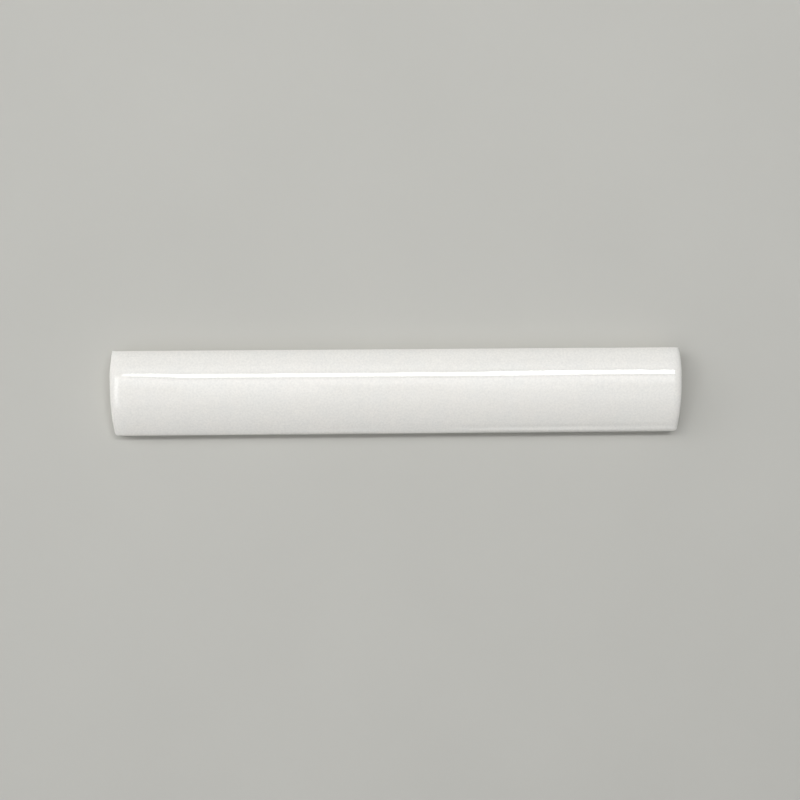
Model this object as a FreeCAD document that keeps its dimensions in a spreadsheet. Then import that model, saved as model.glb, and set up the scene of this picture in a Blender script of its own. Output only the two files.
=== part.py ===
# A bullnose trim tile: one pressed and fired ceramic bar that finishes the edge of a tiled wall.
# Frame, in millimetres: X along the tile, +Y towards the joint edge that meets the field tile,
# -Y towards the rounded nose, +Z out of the wall. The origin is the middle of the bed (back) face.

import FreeCAD, Part
import os

import Sketcher

TILE_NAME = "bullnose_tile"

DIMENSIONS = {
    "tile_length": 200.0,
    "tile_width": 30.0,
    "joint_thickness": 9.5,  # the edge that meets the field tile has that tile's thickness
    "crown_rise": 3.5,  # the crown stands this far above the joint edge
    "crown_setback": 11.8,  # from the joint face in to the crown
    "nose_height": 6.0,  # where the crown's curve meets the nose face, before the nose is rounded
    "nose_radius": 2.0,
    "end_radius": 1.5,  # rounding of the two ends, over the crown and down the nose
    "joint_arris_radius": 0.4,
    "bed_arris_radius": 0.3,
    "groove_count": 3,  # key grooves in the bed, which the adhesive fills
    "groove_depth": 0.8,
    "groove_draft": 30.0,  # lean of a groove's walls, in degrees
    "border_land": 4.0,  # plain margin of the bed round the grooves
    "rib_width": 3.0,  # bed that is left between two grooves
}

TOLERANCE = 1e-4
SKETCH_ORIGIN = (-1, 1)  # a sketch's own origin in a constraint
START, END, CENTRE = 1, 2, 3  # the points of a line or an arc in a constraint


def make_sheet(doc):
    """The sheet of driving dimensions, with one named cell each."""
    sheet = doc.addObject("Spreadsheet::Sheet", "dims")
    for row, (name, value) in enumerate(DIMENSIONS.items(), start=1):
        sheet.set(f"A{row}", name)
        sheet.set(f"B{row}", str(value))
        sheet.setAlias(f"B{row}", name)
    doc.recompute()
    return sheet


def new_sketch(body, name, plane_role):
    """An empty sketch on one of the body's own origin planes."""
    sketch = body.newObject("Sketcher::SketchObject", name)
    plane = next(f for f in body.Origin.OriginFeatures if f.Role == plane_role)
    sketch.AttachmentSupport = [(plane, "")]
    sketch.MapMode = "FlatFace"
    return sketch


def constrain(sketch, kind, *where):
    return sketch.addConstraint(Sketcher.Constraint(kind, *where))


def dimension(sketch, name, kind, start, end, value, expression):
    """A named size in a sketch, from point start to point end, bound to the sheet."""
    index = constrain(sketch, kind, *start, *end, value)
    sketch.renameConstraint(index, name)
    sketch.setExpression(f"Constraints.{name}", expression)


def edge_names(feature, wanted):
    """Names of the feature's edges whose bounding box passes the test."""
    edges = enumerate(feature.Shape.Edges, start=1)
    return [f"Edge{number}" for number, edge in edges if wanted(edge.BoundBox)]


def near(value, target):
    return abs(value - target) < TOLERANCE


def draw_section(body, dims):
    """The tile's section, looking along X, with Y to the right and Z up.
    The crown is two arcs of different radius that meet level at its highest point."""
    half_width = dims.tile_width / 2
    crown = dims.joint_thickness + dims.crown_rise
    nose_foot = FreeCAD.Vector(-half_width, 0)
    joint_foot = FreeCAD.Vector(half_width, 0)
    joint_top = FreeCAD.Vector(half_width, dims.joint_thickness)
    crown_top = FreeCAD.Vector(half_width - dims.crown_setback, crown)
    nose_top = FreeCAD.Vector(-half_width, dims.nose_height)

    def crown_arc(start, end):
        """An arc between the two points that is level at the crown."""
        fall = crown - min(start.y, end.y)
        middle = FreeCAD.Vector((start.x + end.x) / 2, crown - fall / 4)
        return Part.Arc(start, middle, end)

    sketch = new_sketch(body, "section", "YZ_Plane")
    bed = sketch.addGeometry(Part.LineSegment(nose_foot, joint_foot))
    joint_face = sketch.addGeometry(Part.LineSegment(joint_foot, joint_top))
    joint_side = sketch.addGeometry(crown_arc(joint_top, crown_top))
    nose_side = sketch.addGeometry(crown_arc(crown_top, nose_top))
    nose_face = sketch.addGeometry(Part.LineSegment(nose_top, nose_foot))

    constrain(sketch, "Coincident", bed, END, joint_face, START)
    constrain(sketch, "Coincident", joint_face, END, joint_side, START)
    constrain(sketch, "Tangent", joint_side, END, nose_side, START)
    constrain(sketch, "Coincident", nose_side, END, nose_face, START)
    constrain(sketch, "Coincident", nose_face, END, bed, START)
    constrain(sketch, "Horizontal", bed)
    constrain(sketch, "Vertical", joint_face)
    constrain(sketch, "Vertical", nose_face)
    constrain(sketch, "Vertical", joint_side, CENTRE, joint_side, END)
    constrain(sketch, "Symmetric", bed, START, bed, END, *SKETCH_ORIGIN)

    dimension(sketch, "width", "DistanceX", (bed, START), (bed, END), dims.tile_width, "dims.tile_width")
    dimension(
        sketch, "joint", "DistanceY", (joint_face, START), (joint_face, END),
        dims.joint_thickness, "dims.joint_thickness",
    )
    dimension(
        sketch, "rise", "DistanceY", (joint_side, START), (joint_side, END),
        dims.crown_rise, "dims.crown_rise",
    )
    dimension(
        sketch, "setback", "DistanceX", (joint_side, END), (joint_side, START),
        dims.crown_setback, "dims.crown_setback",
    )
    dimension(
        sketch, "nose", "DistanceY", (nose_face, END), (nose_face, START),
        dims.nose_height, "dims.nose_height",
    )
    return sketch


def press_bar(body, section):
    """The section, pressed to the tile's length, half to each side of the origin."""
    bar = body.newObject("PartDesign::Pad", "pressed_bar")
    bar.Profile = section
    bar.SideType = "Symmetric"
    bar.setExpression("Length", "dims.tile_length")
    return bar


def round_edges(body, name, base, wanted, radius):
    """Rounds the edges of base that pass the test, to the sheet's named radius."""
    body.Document.recompute()
    rounding = body.newObject("PartDesign::Fillet", name)
    rounding.Base = (base, edge_names(base, wanted))
    rounding.setExpression("Radius", f"dims.{radius}")
    return rounding


def round_tile(body, bar, dims):
    """Rounds the nose, then both ends over the crown and down the nose, then eases the joint face
    and the edges of the bed."""
    half_length, half_width = dims.tile_length / 2, dims.tile_width / 2

    def nose_edge(box):
        return near(box.YMax, -half_width) and near(box.ZMin, dims.nose_height)

    def on_end(box):
        return near(box.XMin, box.XMax) and near(abs(box.XMax), half_length)

    def end_edge(box):
        return on_end(box) and not near(box.ZMax, 0) and not near(box.YMin, half_width)

    def joint_edge(box):
        return near(box.YMin, half_width) and not near(box.ZMax, 0)

    def bed_edge(box):
        return near(box.ZMax, 0)

    nose = round_edges(body, "rounded_nose", bar, nose_edge, "nose_radius")
    ends = round_edges(body, "rounded_ends", nose, end_edge, "end_radius")
    joint = round_edges(body, "eased_joint", ends, joint_edge, "joint_arris_radius")
    return round_edges(body, "eased_bed", joint, bed_edge, "bed_arris_radius")


def draw_groove(body, dims):
    """The outline of the first key groove, nearest the nose: a slot with round ends.
    The grooves share the bed's width between the two borders and the ribs."""
    clear_width = dims.tile_width - 2 * dims.border_land - (dims.groove_count - 1) * dims.rib_width
    width = clear_width / dims.groove_count
    radius = width / 2
    centre_x = dims.tile_length / 2 - dims.border_land - radius
    centre_y = -(dims.tile_width / 2 - dims.border_land - radius)

    sketch = new_sketch(body, "groove_outline", "XY_Plane")

    def side(y, direction):
        start = FreeCAD.Vector(-direction * centre_x, y)
        end = FreeCAD.Vector(direction * centre_x, y)
        return sketch.addGeometry(Part.LineSegment(start, end))

    def round_end(direction):
        start = FreeCAD.Vector(direction * centre_x, centre_y - direction * radius)
        middle = FreeCAD.Vector(direction * (centre_x + radius), centre_y)
        end = FreeCAD.Vector(direction * centre_x, centre_y + direction * radius)
        return sketch.addGeometry(Part.Arc(start, middle, end))

    lower = side(centre_y - radius, 1)
    right = round_end(1)
    upper = side(centre_y + radius, -1)
    left = round_end(-1)
    outline = [lower, right, upper, left]
    for piece, following in zip(outline, outline[1:] + outline[:1]):
        constrain(sketch, "Tangent", piece, END, following, START)
    constrain(sketch, "Horizontal", lower)
    constrain(sketch, "Horizontal", upper)

    dimension(
        sketch, "groove_width", "DistanceY", (lower, END), (upper, START), width,
        "(dims.tile_width - 2 * dims.border_land - (dims.groove_count - 1) * dims.rib_width)"
        " / dims.groove_count",
    )
    dimension(
        sketch, "run", "DistanceX", (left, CENTRE), (right, CENTRE), 2 * centre_x,
        "1 mm * (dims.tile_length - 2 * dims.border_land) - .Constraints.groove_width",
    )
    dimension(
        sketch, "half_run", "DistanceX", SKETCH_ORIGIN, (right, CENTRE), centre_x,
        ".Constraints.run / 2",
    )
    dimension(
        sketch, "from_middle", "DistanceY", (right, CENTRE), SKETCH_ORIGIN, -centre_y,
        "1 mm * (dims.tile_width / 2 - dims.border_land) - .Constraints.groove_width / 2",
    )
    return sketch


def cut_grooves(body, outline):
    """Presses the first groove up into the bed and repeats it across the width."""
    groove = body.newObject("PartDesign::Pocket", "key_groove")
    groove.Profile = outline
    groove.Reversed = True
    groove.setExpression("Length", "dims.groove_depth")
    groove.setExpression("TaperAngle", "-dims.groove_draft")
    body.Document.recompute()

    grooves = body.newObject("PartDesign::LinearPattern", "key_grooves")
    grooves.Originals = [groove]
    grooves.Direction = (outline, ["V_Axis"])
    grooves.Mode = "Spacing"
    grooves.setExpression("Offset", "groove_outline.Constraints.groove_width + 1 mm * dims.rib_width")
    grooves.setExpression("Occurrences", "dims.groove_count")
    return grooves


def check(doc, body, rounded):
    """Stops before anything is written if a feature failed, the tile is not one sound solid
    or the grooves took nothing from the rounded bar."""
    for item in doc.Objects:
        if "Invalid" in item.State or "Error" in item.State:
            raise RuntimeError(f"{item.Name} failed: {item.State}")
    if body.Shape.isNull() or not body.Shape.isValid() or len(body.Shape.Solids) != 1:
        raise RuntimeError("the tile is not one valid solid")
    if rounded.Shape.Volume - body.Shape.Volume < TOLERANCE:
        raise RuntimeError("the key grooves cut nothing")


def main():
    doc = FreeCAD.newDocument(TILE_NAME)
    dims = make_sheet(doc)
    body = doc.addObject("PartDesign::Body", TILE_NAME)
    body.Label = TILE_NAME
    bar = press_bar(body, draw_section(body, dims))
    rounded = round_tile(body, bar, dims)
    doc.recompute()
    body.Tip = cut_grooves(body, draw_groove(body, dims))
    doc.recompute()
    check(doc, body, rounded)
    os.makedirs("parts", exist_ok=True)
    body.Shape.exportStep(f"parts/{body.Label}.step")
    print(f"tile {body.Shape.Volume:.0f} mm3, grooves {rounded.Shape.Volume - body.Shape.Volume:.0f} mm3")


main()
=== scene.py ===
# %% [markdown]
# # A white bullnose trim tile
#
# A bullnose tile finishes the edge of a tiled wall. It is one bar of pressed clay, fired once bare and
# once more with a coat of glaze, which melts to a layer of glass over the face and the rounded nose.
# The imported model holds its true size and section. Here the tile gets what the kiln adds: the soft roll
# of the glaze, its ragged lower edge on the sides, the bare clay of the back, and the two finishes.

import bmesh
import bpy
import numpy as np
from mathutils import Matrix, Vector
from mathutils.bvhtree import BVHTree


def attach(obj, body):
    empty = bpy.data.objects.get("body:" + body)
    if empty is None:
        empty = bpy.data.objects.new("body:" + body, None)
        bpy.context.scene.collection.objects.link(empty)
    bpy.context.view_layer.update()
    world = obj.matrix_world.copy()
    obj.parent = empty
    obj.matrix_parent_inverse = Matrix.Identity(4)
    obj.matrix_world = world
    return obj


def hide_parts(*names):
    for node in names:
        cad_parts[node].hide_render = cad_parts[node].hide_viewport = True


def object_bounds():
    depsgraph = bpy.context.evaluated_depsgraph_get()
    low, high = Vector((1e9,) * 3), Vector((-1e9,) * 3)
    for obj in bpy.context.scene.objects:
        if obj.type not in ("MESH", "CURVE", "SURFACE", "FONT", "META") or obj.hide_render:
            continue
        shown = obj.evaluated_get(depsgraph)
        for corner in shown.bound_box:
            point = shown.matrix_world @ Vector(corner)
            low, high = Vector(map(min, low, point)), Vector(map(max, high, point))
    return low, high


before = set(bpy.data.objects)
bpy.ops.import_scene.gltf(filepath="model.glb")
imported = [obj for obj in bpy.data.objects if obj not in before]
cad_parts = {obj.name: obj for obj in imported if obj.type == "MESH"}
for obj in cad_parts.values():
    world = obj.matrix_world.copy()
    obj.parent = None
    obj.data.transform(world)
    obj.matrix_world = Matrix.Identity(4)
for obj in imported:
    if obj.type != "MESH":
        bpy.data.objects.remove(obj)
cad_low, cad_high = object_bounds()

MM = 0.001
TILE_NODE = "bullnose_tile"
print("packed tile, in mm:", [round(side / MM, 2) for side in cad_high - cad_low])

# %% [markdown]
# ## The section
#
# Everything about this tile follows from its section: a flat bed, an upright joint edge, a domed face
# made of two arcs that meet level at the crown, and a rounded nose. It could be traced point by point,
# but then no size could be changed by itself. So the outline is worked out from the sizes that the tile
# maker would write on the die's drawing, as straight runs and arcs that run smoothly into each other.

# %% Sizes on the die's drawing
LENGTH, WIDTH, CROWN_HEIGHT = cad_high - cad_low
JOINT_THICKNESS = 9.5 * MM
CROWN_SETBACK = 11.8 * MM  # from the joint face in to the crown
NOSE_HEIGHT = 6.0 * MM  # where the dome would meet the nose face if the nose were not rounded
NOSE_RADIUS = 2.0 * MM
END_RADIUS = 1.5 * MM
JOINT_ARRIS, BED_ARRIS = 0.4 * MM, 0.3 * MM  # the eased edges of the joint face and of the bed

JOINT_Y, NOSE_Y = WIDTH / 2, -WIDTH / 2
CROWN_Y = JOINT_Y - CROWN_SETBACK


def dome_radius(reach, fall):
    """Radius of an arc that starts level at the crown and falls by fall over the distance reach."""
    return (reach**2 + fall**2) / (2 * fall)


JOINT_SIDE_RADIUS = dome_radius(CROWN_SETBACK, CROWN_HEIGHT - JOINT_THICKNESS)
NOSE_SIDE_RADIUS = dome_radius(WIDTH - CROWN_SETBACK, CROWN_HEIGHT - NOSE_HEIGHT)
JOINT_DOME = (CROWN_Y, CROWN_HEIGHT - JOINT_SIDE_RADIUS)  # centres (y, z) of the dome's two arcs
NOSE_DOME = (CROWN_Y, CROWN_HEIGHT - NOSE_SIDE_RADIUS)
for side, radius in (("joint", JOINT_SIDE_RADIUS), ("nose", NOSE_SIDE_RADIUS)):
    print(f"dome radius towards the {side}: {radius / MM:.2f} mm")

# %% [markdown]
# A section drawing knows two kinds of line, the straight run and the arc. A helper for each gives evenly
# spaced points on it and leaves out the last one, because the next stretch of the outline starts there.
# A third helper finds the rounding that touches an upright face and the dome at once, which is what lets
# the nose run into the dome without a crease.

# %% Runs and arcs
def run(start, end, steps):
    """Points on a straight run, without its last point, which the next stretch brings."""
    return np.linspace(start, end, steps + 1)[:-1]


def arc(centre, radius, first, last, steps):
    """Points on an arc between two angles in degrees, without its last point."""
    angle = np.radians(np.linspace(first, last, steps + 1)[:-1])
    return np.asarray(centre) + radius * np.column_stack([np.cos(angle), np.sin(angle)])


def rounding_under_dome(face_y, dome_y, dome_z, dome_r, radius):
    """Centre of the rounding between an upright face and the dome, and the angle where it meets
    the dome."""
    side = np.sign(face_y)
    centre_y = face_y - side * radius
    rise = np.sqrt((dome_r - radius) ** 2 - (centre_y - dome_y) ** 2)
    return (centre_y, dome_z + rise), np.degrees(np.arctan2(rise, centre_y - dome_y))


_, meeting = rounding_under_dome(NOSE_Y, *NOSE_DOME, NOSE_SIDE_RADIUS, NOSE_RADIUS)
print(f"the dome runs into the nose at {meeting:.1f} degrees")

# %% [markdown]
# The loop of points has four sides: bed, joint, face and nose. Opposite sides have equally many steps,
# because the tile's two ends are filled later with a net of four-sided faces between them. The bed's
# points fall on the edges of the key grooves, so that the grooves come out crisp.

# %% Steps round the section
GROOVE_COUNT = 3
GROOVE_DEPTH = 0.8 * MM
GROOVE_DRAFT = np.radians(30.0)
BORDER_LAND = 4.0 * MM  # plain margin of the bed round the grooves
RIB_WIDTH = 3.0 * MM
GROOVE_WIDTH = (WIDTH - 2 * BORDER_LAND - (GROOVE_COUNT - 1) * RIB_WIDTH) / GROOVE_COUNT
WALL_RUN = GROOVE_DEPTH * np.tan(GROOVE_DRAFT)

ARRIS_STEPS, HALF_NOSE_STEPS = 4, 8
BORDER_STEPS, RIB_STEPS, WALL_STEPS, GROOVE_FLOOR_STEPS = 9, 8, 3, 12
GROOVE_STEPS = 2 * WALL_STEPS + GROOVE_FLOOR_STEPS
BED_STEPS = 2 * BORDER_STEPS + GROOVE_COUNT * GROOVE_STEPS + (GROOVE_COUNT - 1) * RIB_STEPS
JOINT_FACE_STEPS = 22
NOSE_FACE_STEPS = JOINT_FACE_STEPS + ARRIS_STEPS - HALF_NOSE_STEPS
DOME_STEPS = BED_STEPS + ARRIS_STEPS - HALF_NOSE_STEPS
JOINT_DOME_STEPS = round(DOME_STEPS * CROWN_SETBACK / WIDTH)
FINE_REACH, FINE_STEPS = 3.0 * MM, 18  # closer points just above the nose, for a thin bead of glaze
NOSE_DOME_STEPS = DOME_STEPS - JOINT_DOME_STEPS - FINE_STEPS

SIDE_STEPS = 2 * ARRIS_STEPS + JOINT_FACE_STEPS  # joint and nose
SPAN_STEPS = 2 * ARRIS_STEPS + BED_STEPS  # bed and face
print("steps across the bed or face:", SPAN_STEPS, "and up the joint or nose:", SIDE_STEPS)

# %% The loop of points round the section
def bed_stretches(nose_end, joint_end):
    """Straight runs across the bed, between the edges of the borders, groove walls, floors and ribs."""
    edges, steps = [nose_end], []
    groove_start = NOSE_Y + BORDER_LAND
    for number in range(GROOVE_COUNT):
        groove_end = groove_start + GROOVE_WIDTH
        edges += [groove_start, groove_start + WALL_RUN, groove_end - WALL_RUN, groove_end]
        steps += [RIB_STEPS if number else BORDER_STEPS, WALL_STEPS, GROOVE_FLOOR_STEPS, WALL_STEPS]
        groove_start = groove_end + RIB_WIDTH
    edges.append(joint_end)
    steps.append(BORDER_STEPS)
    return np.concatenate([run(a, b, n) for a, b, n in zip(edges, edges[1:], steps)])


def section(inward=0.0):
    """The closed outline (y, z), from the nose's foot along the bed, up the joint and over the dome.
    At the rounded ends inward goes from 0 to 1, and each side draws in by that share of its radius."""
    face_inset, bed_z = END_RADIUS * inward, BED_ARRIS * inward
    joint_y, nose_y = JOINT_Y - JOINT_ARRIS * inward, NOSE_Y + face_inset
    joint_r, nose_r = JOINT_SIDE_RADIUS - face_inset, NOSE_SIDE_RADIUS - face_inset
    nose_rounding = NOSE_RADIUS - face_inset
    joint_top, joint_turn = rounding_under_dome(joint_y, *JOINT_DOME, joint_r, JOINT_ARRIS)
    nose_top, nose_turn = rounding_under_dome(nose_y, *NOSE_DOME, nose_r, nose_rounding)
    nose_foot = (nose_y + BED_ARRIS, bed_z + BED_ARRIS)
    joint_foot = (joint_y - BED_ARRIS, bed_z + BED_ARRIS)
    half_joint, half_nose = joint_turn / 2, (nose_turn + 180) / 2
    fine_turn = nose_turn - np.degrees(FINE_REACH / nose_r)

    bed_y = bed_stretches(nose_foot[0], joint_foot[0])
    return np.concatenate([
        arc(nose_foot, BED_ARRIS, 225, 270, ARRIS_STEPS),
        np.column_stack([bed_y, np.full_like(bed_y, bed_z)]),
        arc(joint_foot, BED_ARRIS, 270, 315, ARRIS_STEPS),
        arc(joint_foot, BED_ARRIS, 315, 360, ARRIS_STEPS),
        run((joint_y, joint_foot[1]), (joint_y, joint_top[1]), JOINT_FACE_STEPS),
        arc(joint_top, JOINT_ARRIS, 0, half_joint, ARRIS_STEPS),
        arc(joint_top, JOINT_ARRIS, half_joint, joint_turn, ARRIS_STEPS),
        arc(JOINT_DOME, joint_r, joint_turn, 90, JOINT_DOME_STEPS),
        arc(NOSE_DOME, nose_r, 90, fine_turn, NOSE_DOME_STEPS),
        arc(NOSE_DOME, nose_r, fine_turn, nose_turn, FINE_STEPS),
        arc(nose_top, nose_rounding, nose_turn, half_nose, HALF_NOSE_STEPS),
        arc(nose_top, nose_rounding, half_nose, 180, HALF_NOSE_STEPS),
        run((nose_y, nose_top[1]), (nose_y, nose_foot[1]), NOSE_FACE_STEPS),
        arc(nose_foot, BED_ARRIS, 180, 225, ARRIS_STEPS),
    ])


LOOP_POINTS = len(section())
print("points round the section:", LOOP_POINTS, "of", 2 * (SIDE_STEPS + SPAN_STEPS))

# %% [markdown]
# ## The bar
#
# A press forces clay dust into a die, so the tile is the same section all the way along. A sweep of the
# loop gives that. The ends are rounded where the punch meets the die: there the sweep goes on in small
# turns of a quarter circle, and each turn draws the dome and nose in a little more. The stations lie
# closer together near the ends, where the grooves have their round ends.

# %% Stations along the tile
MIDDLE_SPACING, END_SPACING = 0.75 * MM, 0.3 * MM
END_REACH = 8.0 * MM  # the closely spaced stretch at each end
ROUNDING_TURNS = 9


def evenly(start, end, spacing):
    """Places from start to end, as near to the wanted spacing as whole steps allow."""
    return np.linspace(start, end, round((end - start) / spacing) + 1)


def stations():
    """Rows of (side, x on the plain bar, turn). Over the rounded ends, on side -1 and 1, the turn goes
    from 0 to a quarter circle."""
    plain_end = LENGTH / 2 - END_RADIUS
    inner = LENGTH / 2 - END_REACH
    right = evenly(inner, plain_end, END_SPACING)[:-1]
    middle = evenly(-inner, inner, MIDDLE_SPACING)[1:-1]
    plain = np.concatenate([-right[::-1], middle, right])
    turns = np.linspace(0, np.pi / 2, ROUNDING_TURNS + 1)
    left_rows = [(-1, 0.0, turn) for turn in turns[::-1]]
    right_rows = [(1, 0.0, turn) for turn in turns]
    return left_rows + [(0, x, 0.0) for x in plain] + right_rows


print("stations along the tile:", len(stations()))

# %% Sweep the section along the tile
def end_radii():
    """The end rounding at each point of the loop: one for the bed, one for the joint face and one for
    the dome and nose, blended over the corners between them."""
    joint_start, face_start = SPAN_STEPS + ARRIS_STEPS, SPAN_STEPS + SIDE_STEPS + ARRIS_STEPS
    stretches = [
        (ARRIS_STEPS, ARRIS_STEPS + BED_STEPS, BED_ARRIS),
        (joint_start, joint_start + JOINT_FACE_STEPS, JOINT_ARRIS),
        (face_start, LOOP_POINTS - ARRIS_STEPS, END_RADIUS),
    ]
    marks = [mark for first, last, _ in stretches for mark in (first, last)]
    radii = [radius for *_, radius in stretches for _ in range(2)]
    return np.interp(np.arange(LOOP_POINTS), marks, radii, period=LOOP_POINTS)


def sweep():
    """All rings of the bar, as an array of station, loop point and x, y, z."""
    radii = end_radii()
    rings = []
    for side, x, turn in stations():
        outline = section(1 - np.cos(turn))
        along = side * (LENGTH / 2 - radii * (1 - np.sin(turn))) if side else np.full(LOOP_POINTS, x)
        rings.append(np.column_stack([along, outline]))
    return np.array(rings)


rings = sweep()
print("rings along the bar:", len(rings))

# %% [markdown]
# ## The key grooves
#
# The back of a pressed tile has shallow grooves that the adhesive grips. They could be cut with a
# boolean, but that would leave long thin triangles. The bed's points already lie on the edges of the
# grooves, so here they are only pushed up, by as much as the wall's slope allows at that distance from
# the groove's edge.

# %% Press the grooves into the bed
def groove_rise(x, y):
    """How far the bed is pushed up at a point: slots with round ends and sloping walls."""
    radius = GROOVE_WIDTH / 2
    half_run = LENGTH / 2 - BORDER_LAND - radius
    beyond = np.maximum(np.abs(x) - half_run, 0)
    rise = np.zeros_like(x)
    for number in range(GROOVE_COUNT):
        middle = NOSE_Y + BORDER_LAND + radius + number * (GROOVE_WIDTH + RIB_WIDTH)
        inside = radius - np.hypot(beyond, y - middle)
        rise = np.maximum(rise, np.clip(inside / np.tan(GROOVE_DRAFT), 0, GROOVE_DEPTH))
    return rise


bed = rings[:, ARRIS_STEPS : ARRIS_STEPS + BED_STEPS]
bed[..., 2] += groove_rise(bed[..., 0], bed[..., 1])
print(f"groove width {GROOVE_WIDTH / MM:.2f} mm, deepest point {bed[..., 2].max() / MM:.2f} mm")

# %% [markdown]
# ## The ends
#
# Each end of the bar is a flat face with rounded rims. A single many-sided face would close it, but the
# glaze stops part of the way down, and its edge needs points to follow. So each end is closed with a net
# of four-sided faces between the four sides of the last ring. The net's rim shares the ring's points,
# which leaves no seam.

# %% Points of an end's net
def end_net(ring):
    """Points between the four sides of a ring: the blends of opposite sides, less that of the corners."""
    closed = np.vstack([ring, ring[:1]])
    marks = np.cumsum([0, SPAN_STEPS, SIDE_STEPS, SPAN_STEPS, SIDE_STEPS])
    bottom, right, top, left = (closed[a : b + 1] for a, b in zip(marks, marks[1:]))
    top, left = top[::-1], left[::-1]
    u = np.linspace(0, 1, SPAN_STEPS + 1)[:, None, None]
    v = np.linspace(0, 1, SIDE_STEPS + 1)[None, :, None]
    across = (1 - v) * bottom[:, None] + v * top[:, None]
    upward = (1 - u) * left[None] + u * right[None]
    corners = (1 - u) * ((1 - v) * bottom[0] + v * top[0]) + u * ((1 - v) * bottom[-1] + v * top[-1])
    return across + upward - corners


def net_numbers(ring_start, inner_start):
    """Numbers of a net's points: its rim uses the ring's own points, its inside comes after them."""
    numbers = np.empty((SPAN_STEPS + 1, SIDE_STEPS + 1), int)
    inside = np.arange((SPAN_STEPS - 1) * (SIDE_STEPS - 1)).reshape(SPAN_STEPS - 1, SIDE_STEPS - 1)
    numbers[1:-1, 1:-1] = inner_start + inside
    loop = ring_start + np.arange(LOOP_POINTS + 1) % LOOP_POINTS
    joint_start, face_start = SPAN_STEPS, SPAN_STEPS + SIDE_STEPS
    nose_start = face_start + SPAN_STEPS
    numbers[:, 0] = loop[: joint_start + 1]
    numbers[-1, :] = loop[joint_start : face_start + 1]
    numbers[:, -1] = loop[face_start : nose_start + 1][::-1]
    numbers[0, :] = loop[nose_start:][::-1]
    return numbers


print("points in an end's net:", end_net(rings[0])[..., 0].size)

# %% [markdown]
# Rings and nets become one list of points, and each face is a list of the four points at its corners. In
# edit mode the faces could be filled one by one. Made from lists, every point stays where the formulas put
# it, and the faces of the bed can be marked, because they get the bare clay later.

# %% Points and faces of the whole tile
def quads(numbers):
    """Four-sided faces between neighbouring rows and columns of point numbers."""
    corners = [numbers[:-1, :-1], numbers[1:, :-1], numbers[1:, 1:], numbers[:-1, 1:]]
    return np.stack(corners, -1).reshape(-1, 4)


def tile_mesh():
    """The swept rings and the two nets, as points, faces and a mark on the bed's faces."""
    count = len(rings)
    ring_numbers = np.arange(count * LOOP_POINTS).reshape(count, LOOP_POINTS)
    wrapped = np.hstack([ring_numbers, ring_numbers[:, :1]])
    points, faces = [rings.reshape(-1, 3)], [quads(wrapped)]
    columns = np.tile(np.arange(LOOP_POINTS), count - 1)
    on_bed = [(columns >= ARRIS_STEPS) & (columns < ARRIS_STEPS + BED_STEPS)]
    total = count * LOOP_POINTS
    for ring_start, ring in ((0, rings[0]), (total - LOOP_POINTS, rings[-1])):
        net = end_net(ring)[1:-1, 1:-1].reshape(-1, 3)
        faces.append(quads(net_numbers(ring_start, total)))
        on_bed.append(np.zeros(len(faces[-1]), bool))
        points.append(net)
        total += len(net)
    return np.vstack(points), np.vstack(faces), np.concatenate(on_bed)


points, faces, on_bed = tile_mesh()
print("points:", len(points), "faces:", len(faces), "of which on the bed:", on_bed.sum())

# %% The tile's object
mesh = bpy.data.meshes.new("glazed_tile")
mesh.from_pydata(points.tolist(), [], faces.tolist())
tile = bpy.data.objects.new("glazed_tile", mesh)
bpy.context.scene.collection.objects.link(tile)
mesh.polygons.foreach_set("material_index", on_bed.astype(np.int32))
shell = bmesh.new()
shell.from_mesh(mesh)
bmesh.ops.recalc_face_normals(shell, faces=shell.faces)
open_edges = sum(not edge.is_manifold for edge in shell.edges)
shell.to_mesh(mesh)
shell.free()
print("faces:", len(mesh.polygons), "open edges:", open_edges)

# %% [markdown]
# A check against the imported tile: every point of the new mesh should lie on the CAD surface, or within a
# few tenths of a millimetre of it at the corners, where three roundings meet.

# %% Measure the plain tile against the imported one
SAMPLE_SIZE = 4000  # about as many points are measured

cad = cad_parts[TILE_NODE]
cad_points = [vertex.co for vertex in cad.data.vertices]
cad_tree = BVHTree.FromPolygons(cad_points, [face.vertices for face in cad.data.polygons])


def distance_to_cad(places):
    """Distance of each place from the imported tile's surface."""
    return np.array([cad_tree.find_nearest(Vector(place))[3] for place in places])


sample = points[:: max(1, len(points) // SAMPLE_SIZE)]
print(f"plain tile to packed tile: {distance_to_cad(sample).max() / MM:.3f} mm at most")

# %% [markdown]
# ## What the kiln does to the shape
#
# Glaze is a liquid while it is hot. It leaves slow waves on the face, gathers in swells and a thin bead,
# draws away from the rims, and stops short of the bed in a ragged, rounded lip. On most of the face these
# moves are hundredths of a millimetre, and at the rims they come close to a millimetre. A glossy face
# shows all of them, because they bend the long reflection of the lamp. A bump map could fake them in the
# shading. Moved points also show in the outline and in other programs.
#
# The waves come first. A noise texture could shape them, but a handful of long ripples that cross at
# different angles has the even, lazy roll of a melted surface.

# %% Slow waves of the glaze
WAVE_HEIGHT = 0.006 * MM
WAVE_LENGTHS = np.array([34, 27, 21, 17, 14, 12, 10]) * MM
WAVE_SEED = 7
WIDEST_TURN = 0.9  # the most, in radians, that a ripple runs off the tile's length
rng = np.random.default_rng(WAVE_SEED)
wave_turns = rng.uniform(-WIDEST_TURN, WIDEST_TURN, len(WAVE_LENGTHS))
wave_starts = rng.uniform(0, 2 * np.pi, len(WAVE_LENGTHS))


def glaze_waves(along, across):
    """Height of the glaze's waves, from a few long ripples that cross at different angles."""
    height = np.zeros_like(along)
    for length, turn, start in zip(WAVE_LENGTHS, wave_turns, wave_starts):
        phase = (along * np.cos(turn) + across * np.sin(turn)) * 2 * np.pi / length
        height += np.sin(phase + start) * length / WAVE_LENGTHS[0]
    return WAVE_HEIGHT * height


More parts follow.
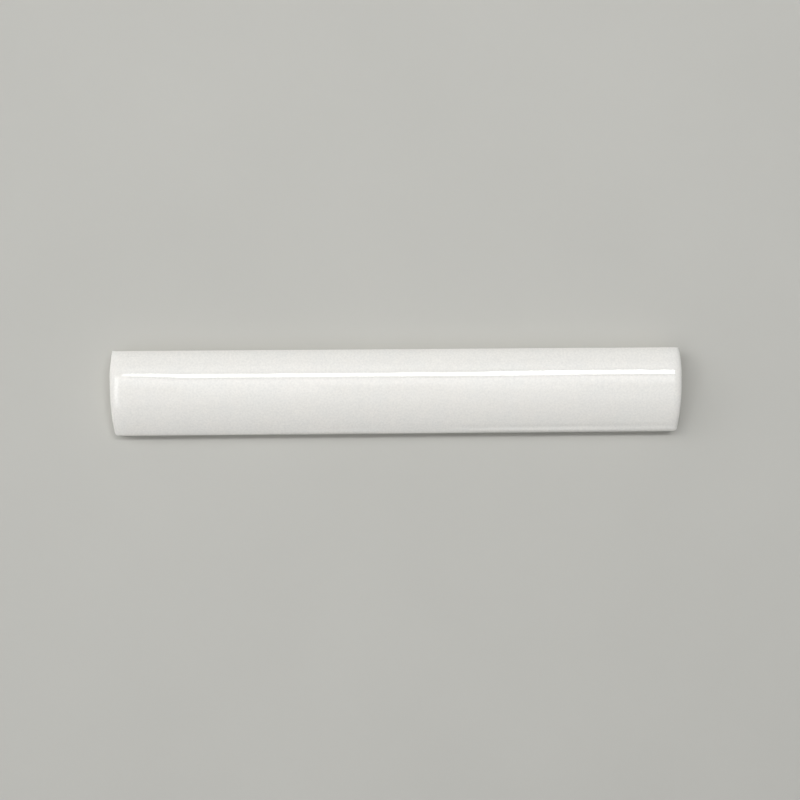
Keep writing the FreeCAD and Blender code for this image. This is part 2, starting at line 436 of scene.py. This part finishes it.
LINE_SAMPLES = 401  # places along the tile where these formulas are tried out
crown_line = np.linspace(-LENGTH / 2, LENGTH / 2, LINE_SAMPLES)
crown_waves = glaze_waves(crown_line, np.zeros_like(crown_line))
print(f"waves along the crown: {np.abs(crown_waves).max() / MM:.3f} mm at most")

# %% [markdown]
# Towards the two ends the face of a fired tile falls away sooner than the die's own rounding does,
# because the melted glaze pulls back from the rim. A larger rounding of the whole bar would also draw in
# its sides. So only the height sinks, along a quarter of an ellipse that is as deep as the end's rounding
# and reaches further in.

# %% Settling of the face towards the two ends
LEFT_REACH, RIGHT_REACH = 4.2 * MM, 3.2 * MM


def rounding_drop(from_end, reach):
    """Drop of a rounding that starts at reach before the end and is as deep as the end's radius."""
    inside = np.clip(1 - from_end / reach, 0, 1)
    return END_RADIUS * (1 - np.sqrt(1 - inside**2))


def end_settle(x):
    """How much further the dome has sunk near the ends than the plain end rounding takes it."""
    from_left, from_right = LENGTH / 2 + x, LENGTH / 2 - x
    wide = rounding_drop(from_left, LEFT_REACH) + rounding_drop(from_right, RIGHT_REACH)
    plain = rounding_drop(from_left, END_RADIUS) + rounding_drop(from_right, END_RADIUS)
    return wide - plain


print(f"settling towards the ends: {end_settle(crown_line).max() / MM:.2f} mm at most")

# %% [markdown]
# Glaze thins where the face meets the sharp joint edge, and gathers elsewhere: in low swells beside the
# crown towards both ends, and in a bead just above the nose with a shallow dip behind it. Sculpting by
# hand would do, but could not be repeated. Each of these is a smooth hump, a formula with a height, a
# place and a width, that fades in and out along the tile.

# %% Glaze that gathers and draws back
JOINT_DROP, JOINT_REACH = 0.8 * MM, 2.6 * MM  # the face rolls off towards the joint edge
BEAD_HEIGHT, BEAD_WIDTH = 0.145 * MM, 0.42 * MM
BEAD_Y = NOSE_Y + 1.05 * MM
BEAD_START, BEAD_RISE = 8 * MM, 35 * MM  # where the bead sets in, and how far it takes to grow
BEAD_FADE, FADE_START, FADE_REACH = 0.35, 65 * MM, 15 * MM  # the share it loses near the right end
SHORT_BEAD, SHORT_BEAD_X, SHORT_BEAD_REACH = 0.4, -19 * MM, 9 * MM  # a fainter stretch on the left
DIP_SHARE, DIP_Y = 0.45, NOSE_Y + 2.2 * MM  # a shallow dip above the bead
SWELL_WIDTH = 2.5 * MM
LEFT_SWELL, LEFT_SWELL_Y = 0.17 * MM, CROWN_Y + 4.4 * MM
LEFT_SWELL_START, LEFT_SWELL_RISE = 72 * MM, 24 * MM  # from the tile's middle
RIGHT_SWELL, RIGHT_SWELL_Y = 0.06 * MM, CROWN_Y + 5.3 * MM
RIGHT_SWELL_START, RIGHT_SWELL_RISE = 20 * MM, 45 * MM


def smooth_step(value):
    """0 below 0, 1 above 1 and an even rise between."""
    value = np.clip(value, 0, 1)
    return value * value * (3 - 2 * value)


def ridge(place, middle, width):
    """A smooth hump of height 1."""
    return np.exp(-(((place - middle) / width) ** 2) / 2)


def joint_roll(y):
    """How much lower the face lies towards the joint edge, where the glaze draws back and thins."""
    return JOINT_DROP * np.clip(1 - (JOINT_Y - y) / JOINT_REACH, 0, 1) ** 2


def gathered_glaze(x, y):
    """Height of the bead above the nose, and of the low swells beside the crown."""
    share = smooth_step((x - BEAD_START) / BEAD_RISE)
    share += SHORT_BEAD * ridge(x, SHORT_BEAD_X, SHORT_BEAD_REACH)
    share -= BEAD_FADE * smooth_step((x - FADE_START) / FADE_REACH)
    profile = ridge(y, BEAD_Y, BEAD_WIDTH) - DIP_SHARE * ridge(y, DIP_Y, BEAD_WIDTH)
    left = LEFT_SWELL * smooth_step((-LEFT_SWELL_START - x) / LEFT_SWELL_RISE)
    right = RIGHT_SWELL * smooth_step((x - RIGHT_SWELL_START) / RIGHT_SWELL_RISE)
    swells = left * ridge(y, LEFT_SWELL_Y, SWELL_WIDTH) + right * ridge(y, RIGHT_SWELL_Y, SWELL_WIDTH)
    return BEAD_HEIGHT * share * profile + swells


bead_line = gathered_glaze(crown_line, np.full_like(crown_line, BEAD_Y))
print(f"bead above the nose: {bead_line.max() / MM:.3f} mm at most")

# %% [markdown]
# Tiles are glazed face up, and the glaze runs a little way down the sides before it sets. Below that the
# clay is bare. A straight line between the two would look painted, so the line wanders, as the sum of a
# few waves of different length. Each point of the mesh learns how far it is covered, from 0 to 1. The
# shape uses that for the lip, and the material for the change of finish.

# %% Lower edge of the glaze
LIP_WIDTH = 0.55 * MM
NOSE_LINE = 1.6 * MM  # height of the glaze's edge on the nose face
JOINT_LINE = 6.8 * MM
END_COVER = 2.6 * MM  # how far the glaze runs down the ends
LINE_WOBBLE = 0.45 * MM
RAGGED_WAVES = [  # length of one radian, share and start of each wave in the line
    (9.1 * MM, 1.0, 0.7),
    (3.7 * MM, 0.6, 2.1),
    (1.3 * MM, 0.35, 4.0),
    (0.7 * MM, 0.2, 0.0),
]
RAGGED_SPAN = 1.8  # brings the sum of the waves to about -1 to 1
LINE_SLANT = 1.7  # lets the line wander along the ends too, where x stays the same
FACE_TILT, FACE_BLEND = 0.2, 0.3  # what looks up by more than this turns to glaze at any height
NO_SIDE = 1e-6  # keeps the blend of lines defined where a surface looks straight up or down


def dome_height(y):
    """Height of the plain face over the bed, as the ends of the tile show it."""
    from_crown = y - CROWN_Y
    radius = np.where(from_crown > 0, JOINT_SIDE_RADIUS, NOSE_SIDE_RADIUS)
    return CROWN_HEIGHT - radius + np.sqrt(np.maximum(radius**2 - from_crown**2, 0))


def ragged(along):
    """A wandering line with a few longer runs, between about -1 and 1."""
    waves = [share * np.sin(along / length + start) for length, share, start in RAGGED_WAVES]
    return sum(waves) / RAGGED_SPAN


def glaze_cover(place, normal):
    """1 where the glaze covers the clay and 0 where the clay is bare, with a lip between."""
    x, y, z = place.T
    to_nose = np.maximum(-normal[:, 1], 0) ** 2
    to_joint = np.maximum(normal[:, 1], 0) ** 2
    to_end = normal[:, 0] ** 2
    total = np.maximum(to_nose + to_joint + to_end, NO_SIDE)
    line = (to_nose * NOSE_LINE + to_joint * JOINT_LINE + to_end * (dome_height(y) - END_COVER)) / total
    line = line + LINE_WOBBLE * ragged(x + LINE_SLANT * y)
    upward = smooth_step((normal[:, 2] - FACE_TILT) / FACE_BLEND)
    cover = smooth_step((z - line) / LIP_WIDTH + 0.5)
    return np.maximum(cover, upward) * (normal[:, 2] > -FACE_TILT)


wander = LINE_WOBBLE * np.abs(ragged(crown_line)).max()
print(f"the glaze's edge wanders by {wander / MM:.2f} mm at most")

# %% [markdown]
# Now the points move, each by the sum of what was worked out for it. A displacement modifier could do the
# waves, but the settling goes straight down and not along the normals. So the points are moved here: on
# the face along the normal, and on the sides bare clay lies back by the glaze's thickness. Settling and
# roll take the height down, in proportion to it, so the bed stays flat.

# %% Move the points
GLAZE_THICKNESS = 0.15 * MM
SIDE_TILT, SIDE_BLEND = 0.5, 0.3  # what looks up or down by less than this starts to count as a side


def read_vectors(items, name):
    """The x, y and z of a mesh's points or normals, one row each."""
    flat = np.empty(len(items) * 3, np.float32)
    items.foreach_get(name, flat)
    return flat.reshape(-1, 3).astype(float)


plain = read_vectors(mesh.vertices, "co")
normals = read_vectors(mesh.vertex_normals, "vector")
cover = glaze_cover(plain, normals)
sideways = smooth_step((SIDE_TILT - np.abs(normals[:, 2])) / SIDE_BLEND)
across = np.arctan2(plain[:, 1] - CROWN_Y, plain[:, 2]) * CROWN_HEIGHT
relief = glaze_waves(plain[:, 0], across) + gathered_glaze(plain[:, 0], plain[:, 1])
recess = (1 - cover) * sideways * GLAZE_THICKNESS
moved = plain + normals * (cover * (1 - sideways) * relief - recess)[:, None]
sunk = end_settle(plain[:, 0]) + joint_roll(plain[:, 1])
moved[:, 2] *= 1 - sunk / CROWN_HEIGHT
mesh.vertices.foreach_set("co", moved.astype(np.float32).ravel())
change = np.linalg.norm(moved - plain, axis=1)
print(f"points moved by {change.mean() / MM:.3f} mm on average and {change.max() / MM:.3f} mm at most")

# %% [markdown]
# The cover is stored on the points, where a material can read it. An image could hold it too, but would
# need a flattened copy of the surface. Then the new mesh rides on the fixed body and takes the place of the
# imported tile, which is hidden.

# %% Hand the tile over to the frame
cover_values = mesh.attributes.new("glaze_cover", "FLOAT", "POINT")
cover_values.data.foreach_set("value", cover.astype(np.float32))
mesh.shade_smooth()
mesh.update()

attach(tile, "root")
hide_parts(TILE_NODE)
print(f"share of the points under glaze: {(cover > 0.5).mean():.2f}")

# %% [markdown]
# ## The two finishes
#
# The glaze is white and opaque, with the sharp gloss of glass. Under it and on the back is the fired
# clay: cream white, dull and finely grained. Painted textures would show their resolution up close, so
# both finishes are made of noise nodes that read the place on the tile in metres. A few helpers keep the
# node code short: one adds a node, one a noise, one stretches a band of values over another range, and
# two join a pair of values.

# %% Helpers for node trees
NOISE_BAND = (0.3, 0.7)  # most values of a noise lie in here
WHOLE = (0.0, 1.0)


def new_node(tree, kind, values=None, **settings):
    """Adds a node, sets its options, and its inputs by name."""
    node = tree.nodes.new(kind)
    for name, value in settings.items():
        setattr(node, name, value)
    for name, value in (values or {}).items():
        node.inputs[name].default_value = value
    return node


def plug(tree, socket, value):
    """Links an output to a socket, or sets the socket if the value is a plain number or colour."""
    if isinstance(value, bpy.types.NodeSocket):
        tree.links.new(value, socket)
    else:
        socket.default_value = value


def object_place(tree):
    """The point on the object in metres, which stays put when the object moves."""
    return new_node(tree, "ShaderNodeTexCoord").outputs["Object"]


def noise(tree, place, scale, detail):
    """The values of a noise pattern of the given scale per metre."""
    node = new_node(tree, "ShaderNodeTexNoise", {"Scale": scale, "Detail": detail})
    tree.links.new(place, node.inputs["Vector"])
    return node.outputs["Fac"]


def spread(tree, value, band, onto, smooth=False):
    """Stretches a band of values over another range, and holds them within it."""
    kind = "SMOOTHSTEP" if smooth else "LINEAR"
    node = new_node(tree, "ShaderNodeMapRange", interpolation_type=kind)
    for name, number in zip(("From Min", "From Max", "To Min", "To Max"), (*band, *onto)):
        node.inputs[name].default_value = number
    tree.links.new(value, node.inputs["Value"])
    return node.outputs["Result"]


print("node helpers:", [helper.__name__ for helper in (new_node, plug, object_place, noise, spread)])

# %% Helpers that join two values
def blend(tree, kind, factor, first, second, **settings):
    """A mix of two colours (kind RGBA) or values (kind FLOAT)."""
    node = new_node(tree, "ShaderNodeMix", data_type=kind, **settings)
    for name, value in (("Factor", factor), ("A", first), ("B", second)):
        plug(tree, node.inputs[name], value)
    return node.outputs["Result"]


def calculate(tree, operation, first, second):
    """A sum or a product of two values."""
    node = new_node(tree, "ShaderNodeMath", operation=operation)
    plug(tree, node.inputs[0], first)
    plug(tree, node.inputs[1], second)
    return node.outputs["Value"]


print("joining helpers:", [helper.__name__ for helper in (blend, calculate)])

# %% [markdown]
# ### Fired clay
#
# The clay shows in two places, on the bed and below the glaze's edge on the sides, and those are two
# materials. Built twice, the two could drift apart, so the clay is a node group that both of them use.
# It has soft clouds of a darker tone, small iron specks, and a fine grain that also drives the roughness.

# %% Fired clay, as a group for both materials
CLAY = (0.74, 0.70, 0.62, 1)
CLAY_DARK = (0.60, 0.55, 0.47, 1)
CLAY_SPECK = (0.42, 0.36, 0.29, 1)
CLAY_CLOUDS, CLAY_GRAINS, CLAY_SPECKS = 90.0, 2600.0, 1500.0  # scales of the noises, per metre
CLOUD_BAND, CLOUD_SHARE = (0.35, 0.7), (0.0, 0.5)
SPECK_BAND, SPECK_SHARE = (0.70, 0.76), (0.0, 0.6)
CLAY_ROUGHNESS = (0.78, 0.95)
GRAIN_DEPTH = 0.05  # millimetres, the measure of the tile's bump
CLAY_OUTPUTS = {"Color": "NodeSocketColor", "Roughness": "NodeSocketFloat", "Height": "NodeSocketFloat"}


def fired_clay_group():
    """Colour, roughness and grain height of the bare fired clay, for a given depth of grain."""
    group = bpy.data.node_groups.new("fired_clay", "ShaderNodeTree")
    group.interface.new_socket("Grain Depth", in_out="INPUT", socket_type="NodeSocketFloat")
    for name, kind in CLAY_OUTPUTS.items():
        group.interface.new_socket(name, in_out="OUTPUT", socket_type=kind)
    depth = group.nodes.new("NodeGroupInput").outputs["Grain Depth"]
    place = object_place(group)
    clouds = noise(group, place, CLAY_CLOUDS, detail=4.0)
    grain = noise(group, place, CLAY_GRAINS, detail=5.0)
    specks = noise(group, place, CLAY_SPECKS, detail=1.0)
    tone = blend(group, "RGBA", spread(group, clouds, CLOUD_BAND, CLOUD_SHARE), CLAY, CLAY_DARK)
    colour = blend(group, "RGBA", spread(group, specks, SPECK_BAND, SPECK_SHARE), tone, CLAY_SPECK)
    out = group.nodes.new("NodeGroupOutput")
    group.links.new(colour, out.inputs["Color"])
    group.links.new(spread(group, grain, NOISE_BAND, CLAY_ROUGHNESS), out.inputs["Roughness"])
    group.links.new(calculate(group, "MULTIPLY", grain, depth), out.inputs["Height"])
    return group


fired_clay = fired_clay_group()
print("group:", fired_clay.name, [item.name for item in fired_clay.interface.items_tree])

# %% [markdown]
# ### Bare clay on the bed
#
# The bed touches the kiln's shelf and is never glazed, so its material is the clay and nothing else. It
# shows what every material here starts from: a Principled shader, and a bump that counts in millimetres.

# %% Bare clay
def new_material(name):
    """A material with its tree, its shader and the shader's bump."""
    material = bpy.data.materials.new(name)
    material.use_nodes = True
    tree = material.node_tree
    shader = tree.nodes["Principled BSDF"]
    bump = new_node(tree, "ShaderNodeBump", {"Strength": 1.0, "Distance": MM})
    tree.links.new(bump.outputs["Normal"], shader.inputs["Normal"])
    return material, tree, shader, bump


def place_clay(tree):
    """The fired clay's group in a material, with its depth of grain."""
    return new_node(tree, "ShaderNodeGroup", {"Grain Depth": GRAIN_DEPTH}, node_tree=fired_clay).outputs


def bare_clay_material():
    """The bed: nothing but fired clay."""
    material, tree, shader, bump = new_material("bare_clay")
    clay = place_clay(tree)
    tree.links.new(clay["Color"], shader.inputs["Base Color"])
    tree.links.new(clay["Roughness"], shader.inputs["Roughness"])
    tree.links.new(clay["Height"], bump.inputs["Height"])
    return material


bare_clay = bare_clay_material()
print("material:", bare_clay.name)

# %% [markdown]
# ### White glaze
#
# Glaze is a thin glass, whitened with fine grains. Up close its white isn't even: it has faint warm and
# cool clouds and a fine mottling of darker flecks, and its gloss has the slight unevenness of orange peel.
# It could be a second skin over the clay, but two surfaces so close together would flicker. So the glaze
# and the clay below its edge are one material, which changes over where the cover of the points says so,
# with a little noise that frays the line.

# %% White glaze
GLAZE = (0.826, 0.811, 0.772, 1)
GLAZE_COOL = (0.808, 0.800, 0.767, 1)
MOTTLE = (0.900, 0.904, 0.911, 1)  # what the darker flecks leave of the glaze's white
GLAZE_CLOUDS, GLAZE_FLECKS = 120.0, 1500.0  # scales of the noises, per metre
GLOSS_CLOUDS, PEEL_WAVES, EDGE_FRAYS = 60.0, 420.0, 1100.0
GLAZE_CLOUD_BAND = (0.35, 0.65)
GLAZE_ROUGHNESS = (0.03, 0.06)
PEEL_DEPTH = 0.004  # millimetres
FRAY_REACH = (-0.16, 0.16)  # what the fray adds to the cover
EDGE_BAND = (0.42, 0.58)  # the cover at which clay gives way to glaze


def white_glaze_material():
    """Glossy white glaze that gives way to bare clay below its ragged edge."""
    material, tree, shader, bump = new_material("glossy_white_glaze")
    place = object_place(tree)
    clay = place_clay(tree)
    cover = new_node(tree, "ShaderNodeAttribute", attribute_name="glaze_cover").outputs["Fac"]
    fray = spread(tree, noise(tree, place, EDGE_FRAYS, detail=2.0), NOISE_BAND, FRAY_REACH)
    glazed = spread(tree, calculate(tree, "ADD", cover, fray), EDGE_BAND, WHOLE, smooth=True)

    clouds = spread(tree, noise(tree, place, GLAZE_CLOUDS, detail=4.0), GLAZE_CLOUD_BAND, WHOLE)
    flecks = spread(tree, noise(tree, place, GLAZE_FLECKS, detail=5.0), NOISE_BAND, WHOLE)
    gloss = spread(tree, noise(tree, place, GLOSS_CLOUDS, detail=2.0), NOISE_BAND, GLAZE_ROUGHNESS)
    peel = spread(tree, noise(tree, place, PEEL_WAVES, detail=2.0), WHOLE, (0.0, PEEL_DEPTH))
    white = blend(tree, "RGBA", clouds, GLAZE, GLAZE_COOL)
    white = blend(tree, "RGBA", flecks, white, MOTTLE, blend_type="MULTIPLY")

    colour = blend(tree, "RGBA", glazed, clay["Color"], white)
    roughness = blend(tree, "FLOAT", glazed, clay["Roughness"], gloss)
    height = blend(tree, "FLOAT", glazed, clay["Height"], peel)
    tree.links.new(colour, shader.inputs["Base Color"])
    tree.links.new(roughness, shader.inputs["Roughness"])
    tree.links.new(height, bump.inputs["Height"])
    return material


mesh.materials.append(white_glaze_material())
mesh.materials.append(bare_clay)
print("materials:", [material.name for material in mesh.materials])

# %% [markdown]
# ## The floor
#
# The tile lies on its back on a plain pale floor, which takes its shadow and gives some light back. A
# square one would show a corner in low views, so it is a large disc. Its paint is dull, with a trace of
# unevenness in tone and surface.

# %% Plain floor
FLOOR_COLOUR = (0.479, 0.477, 0.449, 1)
FLOOR_DARKER = 0.97  # what the darker clouds leave of the colour
FLOOR_RADIUS, FLOOR_SIDES = 0.9, 128
FLOOR_CLOUDS, FLOOR_GRAINS = 14.0, 900.0  # scales of the noises, per metre
FLOOR_GRAIN_DEPTH = 0.02 * MM
FLOOR_ROUGHNESS = 0.8


def floor_paint():
    """Dull pale paint."""
    material, tree, shader, bump = new_material("floor_paint")
    place = object_place(tree)
    tone = spread(tree, noise(tree, place, FLOOR_CLOUDS, detail=4.0), NOISE_BAND, WHOLE)
    darker = (*(FLOOR_DARKER * channel for channel in FLOOR_COLOUR[:3]), 1)
    tree.links.new(blend(tree, "RGBA", tone, FLOOR_COLOUR, darker), shader.inputs["Base Color"])
    tree.links.new(noise(tree, place, FLOOR_GRAINS, detail=2.0), bump.inputs["Height"])
    bump.inputs["Distance"].default_value = FLOOR_GRAIN_DEPTH
    shader.inputs["Roughness"].default_value = FLOOR_ROUGHNESS
    return material


bpy.ops.mesh.primitive_circle_add(vertices=FLOOR_SIDES, radius=FLOOR_RADIUS, fill_type="NGON")
floor = bpy.context.object
floor.name = "plain_floor"
floor.data.materials.append(floor_paint())
print("floor:", floor.name)

# %% [markdown]
# ## The room
#
# A studio's walls send a little light from all sides. A world that is bright enough to look like a pale
# room would wash out the shadows, so it has two strengths: a low one for the light that it gives, and a
# higher one for what the camera and the reflections see of it.

# %% Room light
ROOM_COLOUR = (1.0, 0.995, 0.975, 1)
ROOM_LIGHT, ROOM_SEEN = 0.045, 0.5


def pale_room():
    """A dim even light, seen as a pale room by the camera and in reflections."""
    world = bpy.data.worlds.new("pale_room")
    world.use_nodes = True
    tree = world.node_tree
    background = tree.nodes["Background"]
    background.inputs["Color"].default_value = ROOM_COLOUR
    rays = new_node(tree, "ShaderNodeLightPath").outputs
    seen = calculate(tree, "ADD", rays["Is Camera Ray"], rays["Is Glossy Ray"])
    seen = calculate(tree, "ADD", seen, rays["Is Transmission Ray"])
    tree.links.new(blend(tree, "FLOAT", seen, ROOM_LIGHT, ROOM_SEEN), background.inputs["Strength"])
    return world


bpy.context.scene.world = pale_room()
print("room:", bpy.context.scene.world.name, "gives", ROOM_LIGHT, "and is seen as", ROOM_SEEN)

# %% [markdown]
# ## The lamps
#
# A glossy tile mirrors whatever hangs over it, so its lamps are placed by what they show in the glaze.
# Lamps could be put up by eye, in metres, but the dome turns every move into another one. So each lamp is
# given by the slopes that it spans as seen from the tile: where the face leans by half a slope towards
# it, the camera overhead sees it.
#
# The strip lamp makes the sharp white line beside the crown. It hangs in two parts, and the right one is
# brighter. The crown and overhead panels make the soft band below that line, the front and back panels
# light the two falls of the dome, and the window on the left lights that end. Two small patches hang a
# little lower.

# %% Lamps that light the tile
LAMP_HEIGHT, PATCH_HEIGHT = 1.1, 1.0  # metres above the crown


def panel(name, low, high, brightness, height=LAMP_HEIGHT):
    """A flat lamp overhead that spans the slopes from low to high, each (x, y) in degrees from
    straight up."""
    (x0, y0), (x1, y1) = np.tan(np.radians(low)) * height, np.tan(np.radians(high)) * height
    light = bpy.data.lights.new(name, "AREA")
    light.shape = "RECTANGLE"
    light.size, light.size_y = x1 - x0, y1 - y0
    light.energy = brightness * np.pi * light.size * light.size_y
    lamp = bpy.data.objects.new(name, light)
    lamp.location = ((x0 + x1) / 2, (y0 + y1) / 2, height + CROWN_HEIGHT)
    bpy.context.scene.collection.objects.link(lamp)
    return lamp


PANELS = [
    ("strip_lamp", (-18.3, 12.3), (8, 19.4), 8.4),
    ("strip_lamp_right", (8, 12.3), (24, 19.4), 27.0),
    ("crown_panel", (-30, 0), (25, 8.8), 2.4),
    ("overhead_panel", (-30, -4), (25, 0), 1.8),
    ("front_panel", (-30, -30), (25, -4), 0.65),
    ("back_panel", (-30, 23), (25, 36), 0.85),
    ("left_window", (-45, -35), (-21, 12), 2.4),
]
PATCHES = [
    ("left_patch", (-14, -15), (-4, -4), 0.85),
    ("right_patch", (5, -12), (15, -4), 0.85),
]
lamps = [panel(*row) for row in PANELS] + [panel(*row, PATCH_HEIGHT) for row in PATCHES]
print("lamps:", [lamp.name for lamp in lamps])

# %% [markdown]
# Two fills far off to the left light the tile from that side. In the glaze they would show as bright
# shapes, so they are kept out of reflections. The glow is the reverse: it shows in reflections only, and
# brightens the face where it falls to the left end.

# %% Lamps for the shading or the reflections alone
FILL_HEIGHT = 3.0
FILLS = [
    ("left_fill", (-45, 12), (-21, 30), 4.5),
    ("far_left_fill", (-68, 12), (-45, 45), 4.5),
]
fills = [panel(*row, FILL_HEIGHT) for row in FILLS]
for fill in fills:
    fill.visible_glossy = False
glow = panel("left_glow", (-43, -22), (-26, 9), 1.4, PATCH_HEIGHT)
glow.visible_diffuse = False
print("only in the shading:", [fill.name for fill in fills], "only in reflections:", glow.name)

# %% [markdown]
# ## The camera
#
# The photograph looks straight down on the tile. With a common lens that is from about twice the tile's
# length away. The camera could be set by eye, but here its place and lean were fitted to the tile's
# outline in the photograph: a hair to the left of the middle, and a hair out of square. From that near,
# the crown looks longer than the edges, which makes the two ends bow outwards.

# %% Camera over the tile
CAMERA_PLACE = Vector((-7.93, 1.81, 381.9)) * MM
CAMERA_LEAN = np.radians((-0.721, -1.355, -0.443))
CAMERA_LENS, SENSOR_WIDTH = 47.7, 36.0  # millimetres, as lenses are named


def overhead_camera():
    """Looks straight down, a hair out of square with the tile."""
    data = bpy.data.cameras.new("overhead_camera")
    data.sensor_width, data.lens = SENSOR_WIDTH, CAMERA_LENS
    camera = bpy.data.objects.new("overhead_camera", data)
    camera.location, camera.rotation_euler = CAMERA_PLACE, CAMERA_LEAN
    bpy.context.scene.collection.objects.link(camera)
    return camera


bpy.context.scene.camera = overhead_camera()
bpy.context.scene.view_settings.view_transform = "Standard"
print(f"camera: {CAMERA_PLACE.z / MM - CROWN_HEIGHT / MM:.0f} mm above the crown")
